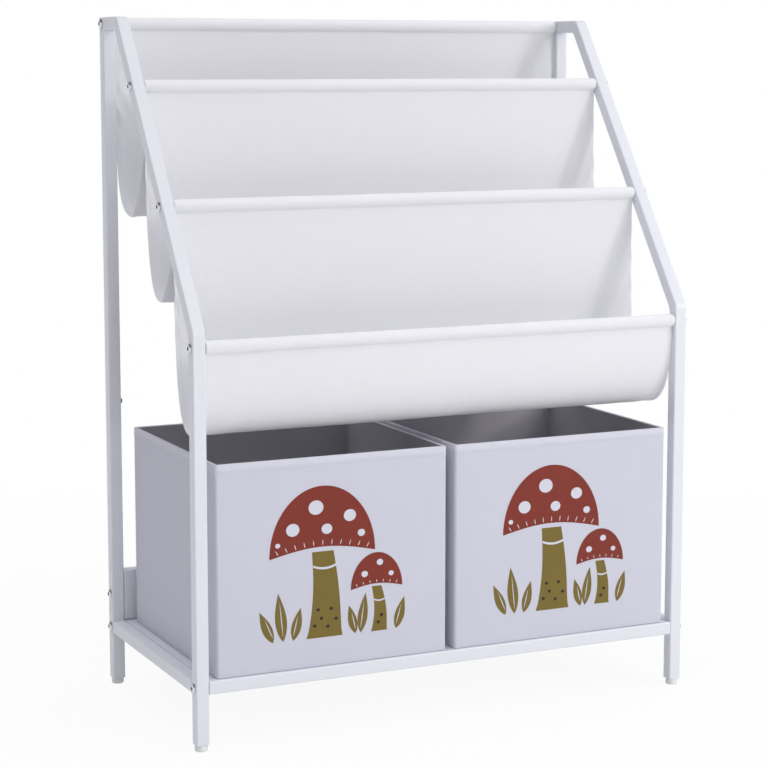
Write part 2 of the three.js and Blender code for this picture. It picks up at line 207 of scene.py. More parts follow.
def mesh_piece(name, points, faces, edges=()):
    mesh = bpy.data.meshes.new(name)
    mesh.from_pydata(points, list(edges), faces)
    return new_object(name, mesh)


def grid_faces(wide, rows, round_rows=True, closed=False):
    """Faces of a grid of points. Its rows may be rings, and its last row may join its first."""
    faces = []
    for j in range(rows if closed else rows - 1):
        here, there = j * wide, (j + 1) % rows * wide
        for k in range(wide if round_rows else wide - 1):
            after = (k + 1) % wide
            faces.append((here + k, here + after, there + after, there + k))
    return faces


def turned(name, profile, steps=40):
    """A piece turned about Z from its profile of (radius, height) points."""
    points = [(radius, 0, height) for radius, height in profile]
    piece = mesh_piece(name, points, [], [(i, i + 1) for i in range(len(points) - 1)])
    with editing(piece):
        bpy.ops.mesh.spin(steps=steps, angle=TURN, center=(0, 0, 0), axis=(0, 0, 1))
    return face_outwards(piece)


def dress(piece, material, body="frame", replaces=()):
    """Gives a finished piece its material and its body, and hides the nodes that it stands for."""
    if material is not None:
        piece.data.materials.clear()
        piece.data.materials.append(material)
    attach(piece, body)
    if replaces:
        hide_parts(*replaces)
    return piece


def paint(piece, *nodes):
    return dress(piece, COAT, replaces=nodes)


# Shader expressions

def add_node(tree, kind, inputs=None, output=0, **settings):
    """A node with its settings, and with the values or links of its sockets."""
    made = tree.nodes.new("ShaderNode" + kind)
    for key, value in settings.items():
        setattr(made, key, value)
    for key, value in (inputs or {}).items():
        if isinstance(value, Value):
            tree.links.new(value.socket, made.inputs[key])
        else:
            made.inputs[key].default_value = value
    return Value(made.outputs[output]) if made.outputs else made


def working(operation, reflected=False):
    """A method that joins a value and another, or a number, by a Math node."""
    def method(self, other):
        pair = (other, self) if reflected else (self, other)
        return add_node(self.tree, "Math", dict(enumerate(pair)), operation=operation)
    return method


class Value:
    """A shader socket that works in sums as a number does."""

    def __init__(self, socket):
        self.socket = socket
        self.tree = socket.id_data

    def also(self, output):
        """Another output of the same node."""
        return Value(self.socket.node.outputs[output])

    __add__ = __radd__ = working("ADD")
    __mul__ = __rmul__ = working("MULTIPLY")
    __sub__ = working("SUBTRACT")
    __rsub__ = working("SUBTRACT", reflected=True)
    __truediv__ = working("DIVIDE")
    __rtruediv__ = working("DIVIDE", reflected=True)
    __pow__ = working("POWER")
    at_least = working("MAXIMUM")
    at_most = working("MINIMUM")

    def sine(self):
        return add_node(self.tree, "Math", {0: self}, operation="SINE")

    def size(self):
        return add_node(self.tree, "Math", {0: self}, operation="ABSOLUTE")

    def held(self):
        """Kept from 0 to 1."""
        return self.at_least(0.0).at_most(1.0)


def shade(red, green, blue):
    """A colour given as it looks on a screen, from 0 to 255."""
    def linear(channel):
        share = channel / 255
        return share / 12.92 if share <= 0.04045 else ((share + 0.055) / 1.055) ** 2.4
    return (linear(red), linear(green), linear(blue), 1.0)


class Finish:
    """A material with one shader. Its patterns lie on the piece's place, or on its flat cut."""

    def __init__(self, name, on_cut=False, **constants):
        self.material = bpy.data.materials.new(name)
        self.material.use_nodes = True
        self.tree = self.material.node_tree
        self.shader = self.tree.nodes["Principled BSDF"]
        for key, value in constants.items():
            self.shader.inputs[key.replace("_", " ")].default_value = value
        if on_cut:
            self.place = self.node("UVMap", uv_map="cut")
        else:
            self.place = self.node("TexCoord", output="Object")

    def node(self, kind, inputs=None, output=0, **settings):
        return add_node(self.tree, kind, inputs, output, **settings)

    def axes(self):
        split = self.node("SeparateXYZ", {0: self.place})
        return split, split.also("Y"), split.also("Z")

    def grain(self, scale, detail=2.0, rough=0.5):
        """Noise, with one scale for all axes or one for each."""
        place = self.place
        if isinstance(scale, tuple):
            place = self.node("Mapping", {"Vector": place, "Scale": scale})
            scale = 1.0
        inputs = {"Vector": place, "Scale": scale, "Detail": detail, "Roughness": rough}
        return self.node("TexNoise", inputs, output="Fac")

    def made(self, tone, tones, rough, height, depth, strength=1.0):
        """The material, with its tones from dark to light, its roughness and its relief."""
        if tones:
            inputs = {0: tone, 6: shade(*tones[0]), 7: shade(*tones[1])}
            self.feed("Base Color", self.node("Mix", inputs, output=2, data_type="RGBA"))
        self.feed("Roughness", rough)
        inputs = {"Height": height, "Distance": depth, "Strength": strength}
        self.feed("Normal", self.node("Bump", inputs, output="Normal"))
        return self.material

    def feed(self, socket, value):
        self.tree.links.new(value.socket, self.shader.inputs[socket])


# Finishes

WEAVE_PITCH = 0.55 * MM
DOT_PITCH = 1.6 * MM
RIB_PITCH = 4.4 * MM
RIB_WAY = (0.461, 0.887)


def grained(name, scale, tones, rough, depth, detail=4, spread=0.5, strength=1.0, **constants):
    """A finish whose one fine grain varies its tone, its roughness and its relief."""
    finish = Finish(name, **constants)
    grain = finish.grain(scale, detail, spread)
    return finish.made(grain, tones, grain * rough[0] + rough[1], grain, depth, strength)


def dull_steel(name, *tones):
    return grained(name, 1800, tones, (0.25, 0.35), 0.02 * MM, spread=0.65, Metallic=0.85)


def thread(name, *tones):
    return grained(name, 3000, tones, (0.15, 0.55), 0.03 * MM, detail=2, Sheen_Weight=0.2)


def powder_coat():
    coat = Finish("white_powder_coat", Coat_Weight=0.12, Coat_Roughness=0.25)
    peel = coat.grain(1100)
    patches = coat.grain(9, detail=3)
    dust = coat.grain(260, detail=5, rough=0.7)
    tone = (patches * 0.5 + dust * 0.5).held()
    rough = patches * 0.14 + peel * 0.08 + 0.3
    return coat.made(tone, ((226, 228, 237), (238, 238, 243)), rough, peel, 0.05 * MM, 0.6)


def glide_plastic():
    plastic = Finish("glide_plastic", Subsurface_Weight=0.06)
    skin = plastic.grain(1500, detail=3)
    scuffs = plastic.grain((60, 60, 900), detail=4, rough=0.7)
    tones = (232, 232, 231), (248, 248, 247)
    return plastic.made(scuffs, tones, skin * 0.2 + 0.35, skin, 0.03 * MM)


def board_paint():
    coat = Finish("painted_board", Coat_Weight=0.05)
    roller = coat.grain(480, detail=3, rough=0.6)
    fibres = coat.grain((40, 300, 300), detail=4)
    tone = (roller * 0.5 + fibres * 0.5).held()
    tones = (220, 222, 229), (232, 233, 239)
    return coat.made(tone, tones, roller * 0.16 + 0.42, roller, 0.05 * MM, 0.7)


def sling_cloth():
    """A plain weave: threads along and across, each over and under in turn, with slubs."""
    cloth = Finish("white_sling_cloth", True, Sheen_Weight=0.25, Sheen_Roughness=0.5)
    along, across, _ = cloth.axes()
    warp = (along * (math.pi / WEAVE_PITCH)).sine()
    weft = (across * (math.pi / WEAVE_PITCH)).sine()
    over = warp * weft
    threads = (over * 0.5 + 0.5) * 0.6 + (warp.size() + weft.size()) * 0.2
    slubs = cloth.grain((30, 900, 1), detail=3)
    ends = cloth.grain((900, 30, 1), detail=3)
    soft = cloth.grain(7, detail=4)
    tone = (threads * 0.35 + slubs * 0.25 + ends * 0.2 + soft * 0.2).held()
    tones = (229, 229, 233), (245, 244, 247)
    height = threads + slubs * 0.8 + ends * 0.6
    return cloth.made(tone, tones, threads * 0.1 + 0.8, height, 0.09 * MM, 0.7)


def pressed_dots(one, other):
    """Height of the grid of small dots that is pressed into non-woven cloth."""
    turn = math.pi / DOT_PITCH
    first = ((one + other) * turn).sine().size()
    second = ((one - other) * turn).sine().size()
    return (first * second) ** 0.5


def felted(name, *tones):
    """Non-woven cloth with its pressed dots, loose fibres between them, and faint slanting ribs."""
    cloth = Finish(name, True, Sheen_Weight=0.15, Sheen_Roughness=0.6)
    along, across, _ = cloth.axes()
    pressed = pressed_dots(along, across)
    fibres = cloth.grain(1300, detail=5, rough=0.7)
    soft = cloth.grain(12, detail=3)
    ribs = ((across * RIB_WAY[1] + along * RIB_WAY[0]) * (TURN / RIB_PITCH)).sine() * 0.5 + 0.5
    tone = (pressed * 0.25 + fibres * 0.42 + soft * 0.25 + ribs * 0.08).held()
    return cloth.made(tone, tones, fibres * 0.1 + 0.85, pressed + fibres * 0.8, 0.12 * MM, 0.8)


def ink(name, *tones):
    """Printed ink: the cloth's fibres and pressed dots show through it."""
    layer = Finish(name, Sheen_Weight=0.1, Sheen_Roughness=0.6)
    across, _, up = layer.axes()
    pressed = pressed_dots(across, up)
    fibres = layer.grain(1300, detail=5, rough=0.7)
    wash = layer.grain(45, detail=4, rough=0.6)
    tone = (pressed * 0.2 + fibres * 0.35 + wash * 0.45).held()
    return layer.made(tone, tones, fibres * 0.12 + 0.78, pressed + fibres * 0.8, 0.1 * MM, 0.8)


COAT = powder_coat()
WELD = grained(
    "powder_coat_over_weld", 700, ((220, 223, 230), (234, 236, 242)), (0.2, 0.35), 0.12 * MM,
    detail=3, Coat_Weight=0.12, Coat_Roughness=0.3,
)
CHROME = grained(
    "bright_plate", 2600, None, (0.12, 0.1), 0.01 * MM,
    spread=0.6, strength=0.5, Metallic=1.0, Base_Color=shade(206, 208, 214),
)
# Painted shade: a dark steel put on the screws' socket faces so that the recess looks dark
PAINTED_SOCKET_SHADE = dull_steel("painted_socket_shade", (34, 34, 38), (66, 66, 72))
ZINC = dull_steel("dull_zinc", (96, 98, 102), (136, 138, 142))
PLASTIC = glide_plastic()
BOARD = board_paint()
GREY_BOARD = grained(
    "pressed_grey_board", (500, 500, 120), ((128, 125, 120), (164, 160, 152)), (0.1, 0.85), 0.1 * MM,
    detail=6, spread=0.7,
)
SLING = sling_cloth()
BIN = felted("pale_bin_cloth", (201, 201, 214), (220, 219, 231))
BIN_HEM = felted("pale_bin_hem", (210, 210, 222), (226, 225, 236))
LINING = felted("grey_bin_lining", (176, 172, 181), (196, 192, 201))
RUST = ink("rust_ink", (114, 36, 22), (142, 50, 32))
OLIVE = ink("olive_ink", (108, 90, 28), (134, 114, 46))
UMBER = ink("umber_ink", (30, 22, 18), (50, 40, 32))
SLING_THREAD = thread("white_thread", (226, 226, 232), (246, 246, 250))
BIN_THREAD = thread("pale_thread", (196, 196, 208), (222, 222, 232))


# Metal: tubes, rods and welds

TUBE_CORNER = 1.8 * MM
TUBE_WALL = 1.2 * MM
TUBE_BORE_DEPTH = 18 * MM
CORNER_STEPS = 4
MITRE_NEAR = 0.02 * MM
BEND_ROUNDING = 4.2 * MM
BEND_STEPS = 6
TAB_SHARES = (0.25, 0.75)
TAB_LENGTH = 24 * MM
TAB_WIDTH = 10 * MM
TAB_THICKNESS = 2 * MM
WELD_RADIUS = 0.9 * MM
WELD_FLATNESS = 0.75
WELD_RIPPLE = 0.12 * MM
WELD_RIPPLE_TURN = 2.1
WELD_GRAIN = 2 * MM
WELD_CORNER_POWER = 2 / 9
WELD_STEPS = 120
WELD_SIDES = 8
ROD_BORE = 3.3 * MM
ROD_BORE_DEPTH = 14 * MM
ROD_CHAMFER = 0.5 * MM
DECK_EDGE = 0.5 * MM
STOP_EDGE = 1.2 * MM


def rounded_bar(name, middle, length, turn):
    """A square bar with rounded corners. It runs along its own Z before it is turned."""
    bar = cuboid(name, (-TUBE / 2, -TUBE / 2, -length / 2), (TUBE / 2, TUBE / 2, length / 2))

    def long_edge(edge):
        return abs(edge.verts[0].co.z - edge.verts[1].co.z) > length / 2

    return put(round_edges(bar, long_edge, TUBE_CORNER, CORNER_STEPS), middle, turn)


def cut_square(bar, x, place, along, side, fill):
    """Cuts a bar at a (y, z) place, square to a direction, and clears the side named."""
    with editing(bar):
        bpy.ops.mesh.bisect(plane_co=(x, *place), plane_no=(0, *along), use_fill=fill, **{side: True})


def welded_run(name, x, places):
    """A square tube through (y, z) places on its middle line, with mitred bends ground round."""
    ways = [(b - a).normalized() for a, b in zip(places, places[1:])]
    mitres = [(place, (a + b).normalized()) for place, a, b in zip(places[1:], ways, ways[1:])]
    bars = []
    for i, way in enumerate(ways):
        start, finish = places[i], places[i + 1]
        middle = (start + finish) / 2
        turn = (math.atan2(-way.x, way.y), 0, 0)
        bar = rounded_bar(name, (x, *middle), (finish - start).length + 4 * TUBE, turn)
        first, last = i == 0, i == len(ways) - 1
        cut_square(bar, x, start, way if first else mitres[i - 1][1], "clear_inner", first)
        cut_square(bar, x, finish, way if last else mitres[i][1], "clear_outer", last)
        bars.append(bar)
    if not mitres:
        return bars[0]

    def on_mitre(edge):
        spots = [Vector((v.co.y, v.co.z)) for v in edge.verts]
        return any(
            all(abs((p - place).dot(normal)) < MITRE_NEAR and (p - place).length < 2 * TUBE for p in spots)
            for place, normal in mitres
        )

    return round_edges(face_outwards(join(name, bars)), on_mitre, BEND_ROUNDING, BEND_STEPS)


def open_foot(leg):
    """Opens a leg's lower end: the tube's wall stays round a bore."""
    with editing(leg):
        pick("FACE", lambda face: face.normal.z < -FACING and face.calc_center_median().z < TUBE)
        bpy.ops.mesh.inset(thickness=TUBE_WALL)
        bpy.ops.mesh.extrude_region_move(TRANSFORM_OT_translate={"value": (0, 0, TUBE_BORE_DEPTH)})


def weld_ring(centre, normal, width):
    """A weld bead round a square tube's end, from its centre, its axis and the tube's outer size."""
    tangent = Vector((1, 0, 0))
    other = normal.cross(tangent)

    def squared(share):
        return math.copysign(abs(share) ** WELD_CORNER_POWER, share) * width / 2

    points = []
    for i in range(WELD_STEPS):
        turn = TURN * i / WELD_STEPS
        reach = tangent * squared(math.cos(turn)) + other * squared(math.sin(turn))
        spot = centre + reach
        outwards = reach.normalized()
        ripple = math.sin(i * WELD_RIPPLE_TURN)
        swell = WELD_RADIUS + WELD_RIPPLE * ripple + WELD_RIPPLE * noise.noise(spot / WELD_GRAIN)
        for k in range(WELD_SIDES):
            angle = TURN * k / WELD_SIDES
            way = outwards * math.cos(angle) + normal * math.sin(angle)
            points.append(spot + way * swell * WELD_FLATNESS)
    return face_outwards(mesh_piece("bead", points, grid_faces(WELD_SIDES, WELD_STEPS, closed=True)))


def side_frame(side, sign):
    """One side frame: five welded tubes, with the beads of their welds."""
    x = sign * SIDE_X
    half = TUBE / 2
    leg_y, rear_y, top_z = FRONT_Y + half, BACK_Y - half, TOP_Z - half
    bend = Vector((FRONT_Y, FRONT_LEG_HIGH.z + JOINT_GAP))
    corner = Vector((TOP_LOW.y - JOINT_GAP, TOP_Z))
    slope = (corner - bend).normalized()
    run = welded_run(f"side_{side}", x, [
        Vector((leg_y, FRONT_LEG_LOW.z)),
        Vector((leg_y, bend.y - half * (1 - slope.y) / slope.x)),
        Vector((corner.x + half * (1 - slope.x) / slope.y, top_z)),
        Vector((BACK_Y, top_z)),
    ])
    leg_ends = [Vector((rear_y, LEG_LOW.z)), Vector((rear_y, TOP_Z - TUBE - JOINT_GAP))]
    rear_leg = welded_run(f"leg_rear_{side}", x, leg_ends)
    open_foot(run)
    open_foot(rear_leg)
    round_edges(run, lambda edge: min(v.co.y for v in edge.verts) > BACK_Y - NEAR, SOFT_EDGE)
    paint(smooth_flat(run), f"front_leg_{side}", f"slope_tube_{side}", f"top_tube_{side}")
    paint(smooth_flat(rear_leg), f"rear_leg_{side}")

    front, rear = SIDE_RAIL_LOW.y, SIDE_RAIL_HIGH.y
    rail_z = (SIDE_RAIL_LOW.z + SIDE_RAIL_HIGH.z) / 2
    rail_ends = [Vector((front - JOINT_GAP, rail_z)), Vector((rear + JOINT_GAP, rail_z))]
    pieces = [welded_run(f"rail_{side}", x, rail_ends)]
    tab_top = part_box("deck_board")[0].z - 2 * JOINT_GAP
    inner = x - sign * half
    tab_start, tab_end = sorted((inner + sign * TUBE_WALL, inner - sign * TAB_WIDTH))
    for share in TAB_SHARES:
        y = front + (rear - front) * share
        low = (tab_start, y - TAB_LENGTH / 2, tab_top - TAB_THICKNESS)
        high = (tab_end, y + TAB_LENGTH / 2, tab_top)
        pieces.append(modify(cuboid("tab", low, high), "BEVEL", width=SOFT_EDGE, segments=SOFT_STEPS))
    paint(smooth_flat(join(f"rail_{side}", pieces)), f"side_rail_{side}")

    along, upwards = Vector((0, 1, 0)), Vector((0, 0, 1))
    beads = [weld_ring(Vector((x, y, rail_z)), along, TUBE) for y in (front, rear)]
    beads.append(weld_ring(Vector((x, rear_y, TOP_Z - TUBE)), upwards, TUBE - WELD_RADIUS))
    dress(smooth(join(f"welds_{side}", beads)), WELD)


def cross_rail(name, node):
    low, high, middle = place_of(node)
    rail = rounded_bar(name, middle, high.x - low.x, (0, QUARTER, 0))
    round_edges(rail, lambda edge: min(abs(v.co.x) for v in edge.verts) > high.x - NEAR, SOFT_EDGE / 2)
    paint(smooth_flat(rail), node)


def cross_rod(name, node):
    """A round rod, with a chamfer and a screw's bore at each end."""
    low, high, middle = place_of(node)
    half, radius = (high.x - low.x) / 2, (high.z - low.z) / 2
    end = [(ROD_BORE, -ROD_BORE_DEPTH), (ROD_BORE, 0), (radius - ROD_CHAMFER, 0), (radius, -ROD_CHAMFER)]
    profile = [(0, half - ROD_BORE_DEPTH)] + [(r, half + h) for r, h in end]
    profile += [(r, -half - h) for r, h in reversed(end)] + [(0, ROD_BORE_DEPTH - half)]
    paint(smooth(put(turned(name, profile, ROUND_STEPS), middle, (0, QUARTER, 0))), node)


def board(name, node, edge):
    low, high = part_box(node)
    piece = modify(cuboid(name, low, high), "BEVEL", width=edge, segments=EDGE_STEPS)
    dress(smooth_flat(piece), BOARD, replaces=[node])


# Fasteners and feet

SCREW_HEAD = 5.3 * MM
SCREW_HEIGHT = 2.9 * MM
SCREW_RIM = 0.6 * MM
SCREW_LIP = 0.2 * MM
SCREW_SHANK = 3.0 * MM
SCREW_TIP = 0.8 * MM
SCREW_REACH = 27.5 * MM
SCREW_GAP = 0.1 * MM
SCREW_TURN = 0.35
SCREW_SMOOTH = math.radians(30)
SOCKET_FLATS = 4 * MM
SOCKET_DEPTH = 1.9 * MM
SOCKET_NEAR = 0.05 * MM
SOCKET_MARGIN = 1.02
STEEP = 0.3
ANCHOR_HEAD = 3.3 * MM
ANCHOR_HEIGHT = 3.6 * MM
ANCHOR_RIM = 1.0 * MM
ANCHOR_SHANK = 1.8 * MM
ANCHOR_REACH = 9 * MM
ANCHOR_TIP = 1.5 * MM
ANCHOR_STEPS = 32
SLOT_REACH = 1.9 * MM
SLOT_HALF = 0.35 * MM
SLOT_DEPTH = 1.4 * MM
FOOT_STEM_GAP = 0.3 * MM
FOOT_RISE = 7 * MM
FOOT_EDGE = 1.2 * MM
FOOT_EDGE_STEPS = 4
FOOT_HOLLOW = 0.3 * MM
FOOT_HOLLOW_SHARES = (0.55, 0.6)
FOOT_TIP = 1.5 * MM
# The lip under the leg, as insets and drops in millimetres
FOOT_LIP = ((0, 1.4), (0.3, 1.1), (0, 0.8), (0, 0.2), (0.2, 0))


def dome(radius, height, rim, steps=10):
    """Points of a domed head, from its crown to its lower rim."""
    turns = [QUARTER * share for share in shares(steps)]
    return [(radius * math.sin(turn), rim + (height - rim) * math.cos(turn)) for turn in turns]


def cut_out(piece, cutter):
    modify(piece, "BOOLEAN", object=cutter, operation="DIFFERENCE", solver="EXACT")
    bpy.data.objects.remove(cutter)
    return piece


def button_screw():
    """A button-head screw with its head outwards along Z, and a hexagon socket whose faces carry painted
    shade, a dark steel in the recess.
    """
    tip = -SCREW_REACH
    screw = turned("screw", dome(SCREW_HEAD, SCREW_HEIGHT, SCREW_RIM) + [
        (SCREW_HEAD - SCREW_LIP, 0), (SCREW_SHANK, 0), (SCREW_SHANK, tip + SCREW_TIP),
        (SCREW_SHANK - SCREW_TIP, tip), (0, tip),
    ])
    socket = SOCKET_FLATS / 2 / math.cos(math.pi / 6)
    bottom = SCREW_HEIGHT - SOCKET_DEPTH
    bpy.ops.mesh.primitive_cylinder_add(
        vertices=6, radius=socket, depth=2 * SOCKET_DEPTH, location=(0, 0, bottom + SOCKET_DEPTH)
    )
    smooth(cut_out(screw, bpy.context.object), SCREW_SMOOTH)
    screw.data.materials.append(CHROME)
    screw.data.materials.append(PAINTED_SOCKET_SHADE)
    # The socket's walls and floor take the second, dark material: painted shade in the recess
    for face in screw.data.polygons:
        centre = face.center
        inner = abs(face.normal.z) < STEEP or abs(centre.z - bottom) < SOCKET_NEAR
        inside = Vector((centre.x, centre.y)).length < socket * SOCKET_MARGIN
        face.material_index = int(inner and inside and centre.z > bottom - SOCKET_NEAR)
    return screw


def anchor_screw():
    """A small domed screw with a cross slot."""
    screw = turned("anchor", dome(ANCHOR_HEAD, ANCHOR_HEIGHT, ANCHOR_RIM) + [
        (ANCHOR_HEAD, 0), (ANCHOR_SHANK, 0), (ANCHOR_SHANK, ANCHOR_TIP - ANCHOR_REACH), (0, -ANCHOR_REACH),
    ], ANCHOR_STEPS)
    low = (-SLOT_REACH, -SLOT_HALF, ANCHOR_HEIGHT - SLOT_DEPTH)
    high = (SLOT_REACH, SLOT_HALF, ANCHOR_HEIGHT + MM)
    for turn in (0, QUARTER):
        slot = cuboid("slot", low, high)
        cut_out(screw, put(slot, (0, 0, 0), (0, 0, turn)))
    return smooth(screw, SCREW_SMOOTH)


def fasteners():
    """Screws at the ends of the rods, cross rails and stop board, and anchors in the rear legs."""
    screw, anchor = button_screw(), anchor_screw()
    for side, sign in SIDES:
        outer = sign * (SIDE_X + TUBE / 2 + SCREW_GAP)
        inner = sign * (SIDE_X - TUBE / 2 - SCREW_GAP)
        for place in (*RODS, "front_rail", "rear_rail", "stop_board"):
            node = f"screw_{place}_{side}"
            _, _, middle = place_of(node)
            one = new_object(f"button_{place}_{side}", screw.data.copy())
            put(one, (0, 0, 0), (0, 0, SCREW_TURN * len(place) + sign))
            put(one, (outer, middle.y, middle.z), (0, sign * QUARTER, 0))
            dress(one, None, replaces=[node])
        node = f"anchor_screw_{side}"
        _, _, middle = place_of(node)
        one = new_object(f"anchor_{side}", anchor.data.copy())
        put(one, (inner, middle.y, middle.z), (0, -sign * QUARTER, 0))
        dress(one, ZINC, replaces=[node])
    for spare in (screw, anchor):
        bpy.data.objects.remove(spare)


def foot(side, end):
    """A round glide with a small lip, and the stem that plugs into its leg."""
    node = f"foot_{end}_{side}"
    low, high, middle = place_of(node)
    radius, top = (high.x - low.x) / 2, high.z - low.z
    stem = TUBE / 2 - TUBE_WALL - FOOT_STEM_GAP
    hollow, shoulder = FOOT_HOLLOW_SHARES
    profile = [(0, FOOT_HOLLOW), (radius * hollow, FOOT_HOLLOW), (radius * shoulder, 0)]
    for share in shares(FOOT_EDGE_STEPS):
        up, out = direction(QUARTER * share)
        profile.append((radius - FOOT_EDGE + FOOT_EDGE * out, FOOT_EDGE - FOOT_EDGE * up))
    profile += [(radius - inset * MM, FOOT_RISE - drop * MM) for inset, drop in FOOT_LIP]
    profile += [(stem, FOOT_RISE), (stem, top - FOOT_TIP), (stem - FOOT_TIP, top), (0, top)]
    glide = put(turned(f"glide_{end}_{side}", profile, ROUND_STEPS), (middle.x, middle.y, low.z))
    dress(smooth(glide), PLASTIC, replaces=[node])


# Cloth

CLOTH = 0.9 * MM
SIDE_STEP = 0.65 * MM
REACH = 1.2 * MM
TAIL = 12 * MM
TAIL_OFFSET = 1.15 * CLOTH
REAR_TAIL = ((0, 0), (0, 0.5), (-0.1, 0.9))
FRONT_TAIL = ((0, -0.1), (0, -0.5), (0, -1))
SLEEVE = 7.05 * MM
SLEEVE_STEPS = 26
SLEEVE_UNEVEN = 0.22 * MM
SLEEVE_SCALE = (30, 0.35, 0.3)
PINCH_SHARE = 0.12
PINCH_POWER = 1.5
REAR_STEPS = 34
FRONT_STEPS = 26
PLUMB_STEPS = 6
# Columns of the sheet: at the hem and next to it, in millimetres from the edge, and between
HEM_COLUMNS = (0, 0.4, 1.2, 3, 4.7, 5.5, 6.3)
EDGE_COLUMNS = 14
EDGE_COLUMN_START = 10
EDGE_COLUMN_STEP = 4.2
MIDDLE_COLUMNS = 44
MIDDLE_INSET = 72 * MM
HEM_WIDTH = HEM_COLUMNS[5] * MM
HEM_LIFT = 0.22 * MM
HEM_GROOVE = 0.1 * MM
LOOSE_RISE = 1.1
SEAM_REACH = 70 * MM
SEAM_DROP = 2.4 * MM
PUCKER = 0.35 * MM
PUCKER_SHARE = 0.5
PUCKER_SLANT = 0.55
PUCKER_PITCH = 17 * MM
PUCKER_REACH = 30 * MM
GATHER_SCALE = 42
GATHER_SEED = 3.1
SLOW_SCALE = (6, 5)
FOLD_SHARE = 0.55
FOLD_PITCH = 38 * MM
FOLD_REACH = 45 * MM
CREASE = 2.4 * MM
CREASE_PITCH = 15 * MM
CREASE_WAY = (0.9, 0.45)
CREASE_SCALE = (40, 18)
CREASE_DROP = 70 * MM
CREASE_HEIGHT = 42 * MM
CREASE_REACH = 34 * MM
STITCH = 3.2 * MM
STITCH_GAP = 1.1 * MM
STITCH_RADIUS = 0.28 * MM
STITCH_INSET = 6 * MM
STITCH_SINK = (0.1 * MM, 0.08 * MM)
STITCH_TAIL = 1.1 * CLOTH
HEM_STITCH = 1.2 * MM
# Each sling: how far its lowest place lies behind its front rod, its walls' shares, the bulge of
# its front wall and the height of its folds, in millimetres, and its seed
SLINGS = (
    ("top", 46.5, (0.8, 1, 0.16, 0.43, 0.12), 0, 0.9, 1.3),
    ("middle", 44.5, (0.87, 0.62, 0.2, 0.32, 0.16), 0, 1.1, 4.1),
    ("low", 49, (0.62, 0.95, 0.9, 0, 0.35), 2, 0.8, 7.7),
)


def wave(distance, pitch, phase):
    return math.sin(distance * TURN / pitch + phase)


def fade(distance, reach):
    """1 at no distance, and less with more of it."""
    return math.exp(-distance / reach)


def bezier(a, b, c, d, steps):
    """Points along a cubic curve, without its first."""
    points = []
    for i in range(1, steps + 1):
        t = i / steps
        s = 1 - t
        points.append(a * s**3 + b * 3 * s * s * t + c * 3 * s * t * t + d * t**3)
    return points


def sleeve_loop(rod, seam):
    """Points round a rod: from the seam below it up its rear, over its top and down its front."""
    points = []
    for i in range(SLEEVE_STEPS + 1):
        turn = -QUARTER + TURN * i / SLEEVE_STEPS
        point = rod + direction(turn) * SLEEVE
        near = max(0.0, 1 - min(i, SLEEVE_STEPS - i) / (SLEEVE_STEPS * PINCH_SHARE))
        pinch = Vector((seam.x + (0.5 if i < SLEEVE_STEPS / 2 else -0.5) * CLOTH, seam.y))
        points.append(point.lerp(pinch, near**PINCH_POWER))
    return points


